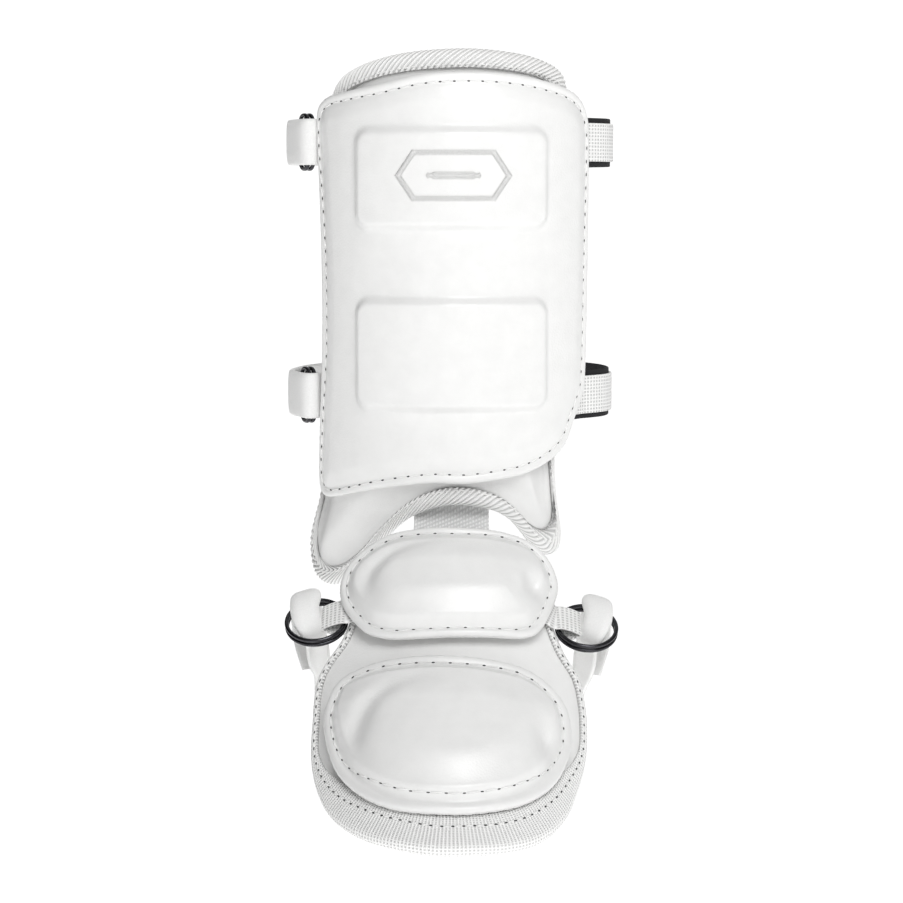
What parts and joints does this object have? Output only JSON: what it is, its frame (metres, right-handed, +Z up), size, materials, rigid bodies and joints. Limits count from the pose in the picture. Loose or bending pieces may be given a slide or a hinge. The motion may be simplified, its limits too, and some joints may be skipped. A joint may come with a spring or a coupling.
{
  "type": "batter's leg guard",
  "caption": "Padded shin guard with a raised leather cover, joined by an elastic band to a foot guard with domed pads, with strap loops and ring pairs.",
  "frame": {"origin": "on the shin pad's inner face, at the middle of the leg, near half the pad's height, where the leg seats", "axes": "+Z up the shin, -Y out to the front and along the foot, +X to the right as seen from the front"},
  "size_m": [0.1774, 0.2996, 0.3865],
  "materials": {
    "coated_leather": "white coated leather, fine grain, satin",
    "base_leather": "white coated leather, soft, matt",
    "pad_facing": "white brushed facing over foam padding",
    "twill_tape": "white herringbone twill tape",
    "mesh_webbing": "white open-weave webbing",
    "napped_strap": "white padded strap with a napped face",
    "loop_lining": "black loop fabric",
    "herringbone_elastic": "light grey woven elastic with white ribs",
    "ring_wire": "dark nickel-plated wire"
  },
  "bodies": {
    "root": {"shin_pad": "pad_facing", "shin_pad_binding": "twill_tape", "shin_cover": "coated_leather", "connector_band": "herringbone_elastic", "foot_base": "base_leather", "foot_base_binding": "twill_tape", "instep_pad": "coated_leather", "toe_pad": "coated_leather", "shin_strap_upper": "napped_strap", "shin_strap_upper_lining": "loop_lining", "shin_strap_upper_webbing": "mesh_webbing", "shin_strap_lower": "napped_strap", "shin_strap_lower_lining": "loop_lining", "shin_strap_lower_webbing": "mesh_webbing", "shin_ring_tab_upper": "mesh_webbing", "shin_ring_tab_lower": "mesh_webbing", "shin_ring_upper_inner": "ring_wire", "shin_ring_upper_outer": "ring_wire", "shin_ring_lower_inner": "ring_wire", "shin_ring_lower_outer": "ring_wire", "foot_ring_left_inner": "ring_wire", "foot_ring_left_outer": "ring_wire", "foot_ring_right_inner": "ring_wire", "foot_ring_right_outer": "ring_wire", "foot_ring_tab_left": "mesh_webbing", "foot_ring_tab_right": "mesh_webbing", "foot_strap": "napped_strap"}
  },
  "joints": []
}
